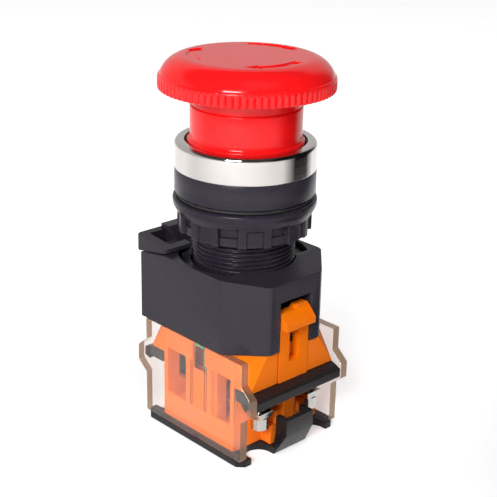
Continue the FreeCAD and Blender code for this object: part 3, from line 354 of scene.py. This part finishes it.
def make_materials():
    """The materials by slot."""
    return {
        "red_plastic": plastic("red_plastic", (0.87, 0.0085, 0.0105), 0.12, spread=0.02, grain=1500,
                               height=0.0000005, edge=0.04, gloss=0.31),
        "black_plastic": plastic("black_plastic", (0.0195, 0.0158, 0.0255), 0.27, edge=0.05, gloss=0.20),
        "black_shield": plastic("black_shield", (0.0085, 0.0068, 0.0082), 0.24, edge=0.03, gloss=0.20),
        "orange_plastic": plastic("orange_plastic", (0.82, 0.165, 0.0010), 0.55, spread=0.04,
                                  edge=0.03, gloss=0.06),
        "clear_plastic": clear_plastic("clear_plastic", (0.90, 0.83, 0.80), (0.25, 0.145, 0.080)),
        "green_plastic": plastic("green_plastic", (0.035, 0.26, 0.08), 0.4),
        "slider_red": plastic("slider_red", (0.45, 0.02, 0.02), 0.4),
        "natural_plastic": plastic("natural_plastic", (0.72, 0.69, 0.60), 0.45),
        "bezel_chrome": metal("bezel_chrome", (0.64, 0.61, 0.59), 0.06, spread=0.02, stretch=(1, 1, 7),
                              scale=150, height=0.000016),
        "nickel_steel": metal("nickel_steel", (0.56, 0.54, 0.51), 0.16, spread=0.06, scale=1400,
                              height=0.000003),
        "spring_steel": metal("spring_steel", (0.56, 0.56, 0.58), 0.28, spread=0.08, stretch=(1, 1, 6),
                              scale=2200, height=0.000003),
        "copper_alloy": metal("copper_alloy", (0.74, 0.40, 0.24), 0.26, spread=0.10, stretch=(1, 9, 1),
                              scale=1200, height=0.000003),
        "contact_silver": metal("contact_silver", (0.86, 0.85, 0.82), 0.22, spread=0.05),
        "black_rubber": plastic("black_rubber", (0.012, 0.011, 0.012), 0.6, grain=3800,
                                height=0.000012, edge=0.04),
    }


# ---------------------------------------------------------------- mesh tools

def link_piece(name, mesh, body, slot_name, replaced=()):
    """Finish a piece: material, body, slot and the CAD nodes it stands for."""
    piece = bpy.data.objects.new(name, mesh)
    SCENE.collection.objects.link(piece)
    mesh.materials.clear()
    mesh.materials.append(MATERIALS[slot_name])
    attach(piece, body)
    if replaced:
        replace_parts(piece, *replaced)
    return piece


def finished(name, mesh_data):
    """A mesh from bmesh data, with its faces turned outwards."""
    bmesh.ops.recalc_face_normals(mesh_data, faces=mesh_data.faces)
    mesh = bpy.data.meshes.new(name)
    mesh_data.to_mesh(mesh)
    mesh_data.free()
    return mesh


def shade(mesh, degrees):
    """Smooth shading with sharp edges above an angle."""
    mesh.polygons.foreach_set("use_smooth", [True] * len(mesh.polygons))
    mesh.set_sharp_from_angle(angle=math.radians(degrees))


def arc(centre, radius, start, end, steps):
    """Points of an arc in the (radius, height) plane, angles in degrees."""
    points = []
    for step in range(steps + 1):
        angle = math.radians(start + (end - start) * step / steps)
        points.append((centre[0] + radius * math.cos(angle), centre[1] + radius * math.sin(angle)))
    return points


def lathe_mesh(name, profile, segments, offset=None):
    """A mesh turned about Z from a closed profile in millimetres.
    offset(angle, radius, height) may add millimetres to the radius."""
    mesh_data = bmesh.new()
    rings = []
    for radius, height in profile:
        ring = []
        for index in range(segments):
            angle = TURN * index / segments
            reach = radius + (offset(angle, radius, height) if offset else 0)
            place = (reach * math.cos(angle), reach * math.sin(angle), height)
            ring.append(mesh_data.verts.new(Vector(place) * MM))
        rings.append(ring)
    for ring, above in zip(rings, rings[1:] + rings[:1]):
        for index in range(segments):
            after = (index + 1) % segments
            mesh_data.faces.new((ring[index], ring[after], above[after], above[index]))
    bmesh.ops.remove_doubles(mesh_data, verts=mesh_data.verts, dist=1e-8)
    return finished(name, mesh_data)


def extruded(name, outline, near, far):
    """A prism along Y, from an outline of (x, z) points in millimetres."""
    mesh_data = bmesh.new()
    ends = []
    for depth in (near, far):
        ends.append([mesh_data.verts.new((across * MM, depth * MM, up * MM)) for across, up in outline])
    mesh_data.faces.new(ends[0])
    mesh_data.faces.new(reversed(ends[1]))
    count = len(outline)
    for index in range(count):
        after = (index + 1) % count
        mesh_data.faces.new((ends[0][index], ends[0][after], ends[1][after], ends[1][index]))
    return finished(name, mesh_data)


def evaluated(body):
    """The mesh of an object after its modifiers. The object is removed."""
    bpy.context.view_layer.update()
    graph = bpy.context.evaluated_depsgraph_get()
    mesh = bpy.data.meshes.new_from_object(body.evaluated_get(graph))
    bpy.data.objects.remove(body)
    return mesh


def united(base, tools):
    """Unite a mesh with others and return the new mesh."""
    body = bpy.data.objects.new("boolean_base", base)
    SCENE.collection.objects.link(body)
    added = []
    for tool in tools:
        item = bpy.data.objects.new("boolean_tool", tool)
        SCENE.collection.objects.link(item)
        added.append(item)
        modifier = body.modifiers.new("boolean", "BOOLEAN")
        modifier.operation = "UNION"
        modifier.solver = "EXACT"
        modifier.object = item
    mesh = evaluated(body)
    for item in added:
        bpy.data.objects.remove(item)
    return mesh


def bevelled(mesh, width):
    """Round the sharp edges of a mesh, width in millimetres, and return the new mesh."""
    body = bpy.data.objects.new("bevel_base", mesh)
    SCENE.collection.objects.link(body)
    modifier = body.modifiers.new("bevel", "BEVEL")
    modifier.width = width * MM
    modifier.segments = 3
    modifier.limit_method = "ANGLE"
    modifier.angle_limit = math.radians(30)
    return evaluated(body)


def finish_node(name, slot_name):
    """Give a CAD node its material, with its edges rounded by modifiers."""
    rounding, sharp = 0.15 * MM, math.radians(32)
    node = frame["nodes"][name]
    node.data.materials.clear()
    node.data.materials.append(MATERIALS[slot_name])
    for polygon in node.data.polygons:
        polygon.material_index = 0
        polygon.use_smooth = True
    if "custom_normal" in node.data.attributes:
        node.data.attributes.remove(node.data.attributes["custom_normal"])
    weld = node.modifiers.new("weld", "WELD")
    weld.merge_threshold = 1e-6
    flat = node.modifiers.new("flat", "DECIMATE")
    flat.decimate_type = "DISSOLVE"
    flat.angle_limit = math.radians(0.5)
    bevel = node.modifiers.new("bevel", "BEVEL")
    bevel.width = rounding
    bevel.segments = 2
    bevel.limit_method = "ANGLE"
    bevel.angle_limit = sharp
    normals = node.modifiers.new("normals", "WEIGHTED_NORMAL")
    normals.keep_sharp = True


# ---------------------------------------------------------------- head

def step_between(value, low, high):
    """0 below low, 1 above high and smooth between."""
    share = min(1.0, max(0.0, (value - low) / (high - low)))
    return share * share * (3 - 2 * share)


def arrow_depth(angle, radius):
    """Depth in millimetres of the three engraved arrows, which run clockwise."""
    arrow_r, shaft_half, head_long, head_half, sweep, tip, depth = 11.45, 1.0, 3.2, 1.75, 64.0, -47.0, 0.30
    behind = (math.degrees(angle) - tip) % 120
    along = math.radians(behind) * arrow_r
    if along < head_long:
        half = head_half * along / head_long
    else:
        half = shaft_half
    end = 1 - step_between(behind, sweep - 0.8, sweep)
    across = abs(radius - arrow_r)
    return depth * end * (1 - step_between(across, half - 0.08, half + 0.04))


def make_head():
    """The mushroom: a nearly flat top with three arrows, a round shoulder and a ribbed rim."""
    ribs, rib_depth, rim, rim_top, low = 80, 0.45, 18.4, 79.6, 77.2
    edge, crown, flat_r = 83.82, 83.90, 12.8
    shoulder_z, shoulder_r = 78.32, 5.5

    def top_height(radius):
        dome = edge + (crown - edge) * (1 - (radius / flat_r) ** 2)
        return min(dome, shoulder_z + math.sqrt(shoulder_r ** 2 - max(0.0, radius - flat_r) ** 2))

    def ribbed(angle, radius, height):
        phase = abs((angle * ribs / TURN) % 1 - 0.5)
        reach = step_between(radius, rim - 0.95, rim - 0.35)
        band = 1 - step_between(height, rim_top - 0.35, rim_top + 0.3)
        return -rib_depth * reach * band * (1 - 2 * phase) ** 2.2

    # the rings are close where the arrows are engraved
    radii = [9.4 * index / 19 for index in range(19)] + [9.6 + 3.9 * index / 39 for index in range(40)]
    top = [(radius, top_height(radius)) for radius in radii]
    # the shoulder's last short step keeps the ledge's slope out of its smooth shading
    shoulder = arc((flat_r, shoulder_z), shoulder_r, 82, 21.0, 16)
    shoulder += arc((flat_r, shoulder_z), shoulder_r, 20.7, 20.5, 1)
    ledge = [(17.975, 80.232), (18.08, 80.16), (18.2, 80.04), (18.31, 79.84), (18.38, 79.6),
             (rim, 79.35), (rim, 79.1), (rim, 78.85), (rim, 78.2), (rim, low + 0.35),
             (18.36, low + 0.18), (18.26, low + 0.05), (18.1, low)]
    under = [(16.9, low), (16.75, low + 0.15), (16.75, 80.0), (12.5, 80.0), (12.5, low + 0.1), (12.4, low),
             (10.55, low), (10.55, 74.5), (7.6, 74.5), (7.6, 71.0), (6.06, 71.0), (6.06, 74.3), (0, 74.3)]
    profile = top + shoulder + ledge + under
    mesh = lathe_mesh("mushroom", profile, 640, ribbed)
    arrows_in, arrows_out, arrows_low = 9.5, 14.0, 83.4
    for vertex in mesh.vertices:
        radius = math.hypot(vertex.co.x, vertex.co.y) / MM
        if vertex.co.z > arrows_low * MM and arrows_in < radius < arrows_out:
            vertex.co.z -= arrow_depth(math.atan2(vertex.co.y, vertex.co.x), radius) * MM
    shade(mesh, 62)
    link_piece("mushroom", mesh, "head", "red_plastic", ["mushroom_cap"])


def make_skirt():
    """The red skirt with its flared lip and the step under the mushroom."""
    bore, lip, wall, neck = 10.6, 12.3, 11.73, 11.40
    profile = [(bore, 62.3), (lip - 0.1, 62.3), (lip, 62.4), (lip, 66.3), (12.26, 66.5), (12.15, 66.62),
               (11.98, 66.75), (11.86, 66.98), (11.78, 67.3), (11.75, 67.8), (wall, 68.6), (wall, 73.5),
               (11.70, 73.65), (11.62, 73.76), (11.50, 73.82), (11.42, 73.9), (neck, 74.05),
               (neck, 77.25), (bore, 77.25)]
    mesh = lathe_mesh("skirt", profile, 180)
    shade(mesh, 60)
    link_piece("skirt", mesh, "head", "red_plastic", ["stem_sleeve"])


# ---------------------------------------------------------------- bezel, barrel, gasket and nut

def make_bezel():
    """The chromed ring, with a flat top, a rounded outer edge and a thin foot."""
    low, top, outer, hole, lip = 60.6, 66.5, 14.94, 12.8, 65.85
    # the wall's extra rings near its ends keep its reflections straight
    profile = [(13.9, low), (14.3, low)] + arc((outer - 0.2, low + 0.2), 0.2, -90, 0, 5)
    profile += [(outer, low + 0.3), (outer, low + 0.8), (outer, top - 2.0), (outer, top - 1.15)]
    profile += arc((outer - 1.05, top - 1.05), 1.05, 0, 90, 14) + [(13.75, top)]
    profile += arc((hole + 0.3, top - 0.3), 0.3, 90, 180, 6)
    profile += [(hole, lip), (13.9, lip)]
    mesh = lathe_mesh("bezel", profile, 256)
    shade(mesh, 50)
    link_piece("bezel", mesh, "base", "bezel_chrome", ["bezel_ring"])


def make_barrel():
    """The operator's body: collar, threaded barrel and the fine teeth at its foot."""
    barrel, pitch, depth, start, end, teeth = 11.0, 1.0, 0.55, 40.6, 54.6, 48

    def threaded(angle, radius, height):
        if radius < barrel - 0.1:
            return 0.0
        if start < height < end:
            phase = ((height - start) / pitch - angle / TURN) % 1
            groove = min(1.0, max(0.0, 1.25 - abs(phase - 0.5) * 3.4))
            fade = min(step_between(height, start, start + 0.5), 1 - step_between(height, end - 0.5, end))
            return -depth * groove * fade
        if height < start - 0.3 and radius < barrel + 0.1:
            return -0.28 * (1 - step_between(abs((angle * teeth / TURN) % 1 - 0.5), 0.1, 0.3))
        return 0.0

    outside = [(8.8, 38.0), (barrel, 38.0), (barrel, 39.0), (barrel, 40.2), (barrel, start)]
    steps = int((end - start) / (pitch / 8))
    outside += [(barrel, start + (end - start) * (index + 1) / steps) for index in range(steps)]
    outside += [(barrel, 55.2), (14.35, 55.2), (14.6, 55.26), (14.82, 55.45), (14.92, 55.7), (14.92, 60.5),
                (14.86, 60.6), (13.9, 60.6), (13.9, 65.2), (12.65, 65.2), (12.65, 56.6), (8.8, 56.6),
                (8.8, 44.0), (6.06, 44.0), (6.06, 42.0), (8.8, 42.0)]
    mesh = lathe_mesh("barrel", outside, 192, threaded)
    shade(mesh, 42)
    link_piece("barrel", mesh, "base", "black_plastic", ["operator_barrel"])


def make_gasket():
    """The sealing ring under the collar, with a round outer edge."""
    low, high, outer, inner = 54.42, 55.17, 14.6, 11.08
    half = (high - low) / 2
    profile = arc((outer - half, low + half), half, -90, 90, 8) + [(inner, high), (inner, low)]
    mesh = lathe_mesh("gasket", profile, 128)
    shade(mesh, 60)
    link_piece("gasket", mesh, "gasket", "black_rubber", ["panel_gasket"])


def make_nut():
    """The ring nut: a rounded flange over a skirt with deep grips, shallow flats and ribs."""
    low, top, neck, reach, rim = 47.0, 54.4, 51.6, 14.3, 15.3
    grip_at, flat_at = -11.8, 11.2

    def gripped(angle, radius, height):
        if radius < reach - 0.5 or height > 52.3:
            return 0.0
        turn = math.degrees(angle)
        from_grip = abs((turn - grip_at + 22.5) % 45 - 22.5)
        from_flat = abs((turn - flat_at + 22.5) % 45 - 22.5)
        in_grip = 1 - step_between(from_grip, 7.6, 8.6)
        in_flat = 1 - step_between(from_flat, 6.7, 7.6)
        under_grip = 1 - step_between(height, 51.0, 51.3)
        under_flat = 1 - step_between(height, 50.3, 50.9)
        ledge = 0.45 * (1 - step_between(height, 48.9, 49.05))
        return -max(in_grip * under_grip * (1.3 - ledge), in_flat * under_flat * 0.5)

    side = [(reach - 0.15, low), (reach, low + 0.15), (reach, 47.9), (reach, 48.88), (reach, 49.06),
            (reach, 49.6), (reach, 50.3), (reach, 50.5), (reach, 50.7), (reach + 0.03, 50.9),
            (reach + 0.06, 51.02), (reach + 0.12, 51.16), (reach + 0.2, 51.3), (reach + 0.35, neck),
            (reach + 0.6, 52.1), (reach + 0.85, 52.6), (rim - 0.04, 52.95)]
    rounding = 0.62
    side += arc((rim - rounding, top - rounding), rounding, 0, 90, 8)
    profile = side + [(12.6, top), (12.5, top - 0.1), (11.08, top - 0.1), (11.08, low), (11.6, low)]
    mesh = lathe_mesh("nut", profile, 720, gripped)
    shade(mesh, 40)
    link_piece("nut", mesh, "nut", "black_plastic", ["ring_nut"])


# ---------------------------------------------------------------- clear covers

def make_cover(name, side, node):
    """A clear cover: a sheet with a pointed bump at both ends and two ribs inside."""
    reach, bump, rib, half = 15.6, 18.4, 2.2, 0.3
    outer = [(reach, 1.63), (reach, 11.1), (bump, 13.3), (bump, 17.0), (reach, 19.45), (reach, 24.4)]
    outer += [(-across, up) for across, up in reversed(outer)]
    sheet = extruded("sheet", outer, side * 12.6, side * 14.7)
    ribs = []
    for across in (-rib, rib):
        near, far = across - half, across + half
        corners = [(near, 7.7), (far, 7.7), (far, 18.3), (near, 18.3)]
        ribs.append(extruded("rib", corners, side * 12.1, side * 13.0))
    whole = bevelled(united(sheet, ribs), 0.22)
    piece = link_piece(name, whole, "base", "clear_plastic", [node])
    piece.visible_shadow = False


# ---------------------------------------------------------------- springs

def helix_mesh(name, coil, wire, low, high, turns, lane):
    """A round wire wound into a spring with closed ends, in millimetres."""
    mesh_data = bmesh.new()
    steps, around = int(turns * 24), 8
    rings = []
    for step in range(steps + 1):
        share = step / steps
        angle = TURN * turns * share
        rise = low + wire + (high - low - 2 * wire) * step_between(share, -0.12, 1.12)
        outward = Vector((math.cos(angle), math.sin(angle), 0))
        middle = outward * coil + Vector((0, lane, rise))
        ring = []
        for corner in range(around):
            swing = TURN * corner / around
            place = middle + outward * (wire * math.cos(swing)) + Vector((0, 0, wire * math.sin(swing)))
            ring.append(mesh_data.verts.new(place * MM))
        rings.append(ring)
    for ring, after in zip(rings, rings[1:]):
        for corner in range(around):
            following = (corner + 1) % around
            mesh_data.faces.new((ring[corner], ring[following], after[following], after[corner]))
    mesh_data.faces.new(rings[0])
    mesh_data.faces.new(reversed(rings[-1]))
    mesh = finished(name, mesh_data)
    shade(mesh, 80)
    return mesh


def make_spring(node, body, coil, wire, turns, lane=0.0, joint=None):
    """A spring in the room that its CAD node takes up. With a joint, the piece gets a mesh of its own."""
    low, high = (corner.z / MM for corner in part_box(node))
    piece = link_piece(f"{node}_wire", helix_mesh(node, coil, wire, low, high, turns, lane), body,
                       "spring_steel", [node])
    if joint:
        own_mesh(piece)


def make_springs():
    """The six springs. The two lanes of the contacts lie at equal distances from the middle."""
    lane, fine = 7.3, 0.16
    make_spring("main_spring", "base", 7.45, 0.4, 5, joint="button_push")
    make_spring("torsion_spring", "head", 6.7, 0.3, 6)
    for end, side in (("no", -lane), ("nc", lane)):
        make_spring(f"return_spring_{end}", "base", 1.2, fine, 7, side,
                    joint=f"slider_{end}_push")
    make_spring("contact_spring_no", "slider_no", 0.85, fine, 5, -lane,
                joint="slider_no_push")
    make_spring("contact_spring_nc", "slider_nc", 0.85, fine, 4, lane)


MATERIALS = make_materials()
RIGHT, BACK = make_camera()
make_studio(RIGHT, BACK)
make_floor(BACK)

make_head()
make_skirt()
make_bezel()
make_barrel()
make_gasket()
make_nut()
make_cover("cover_front", -1, "side_cover_front")
make_cover("cover_rear", 1, "side_cover_rear")
make_springs()

REPLACED = {node for piece in bpy.data.objects for node in piece.get("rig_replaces", [])}
for entry in frame["record"]["subparts"]:
    if entry["node"] not in REPLACED:
        finish_node(entry["node"], entry["material_slot"])
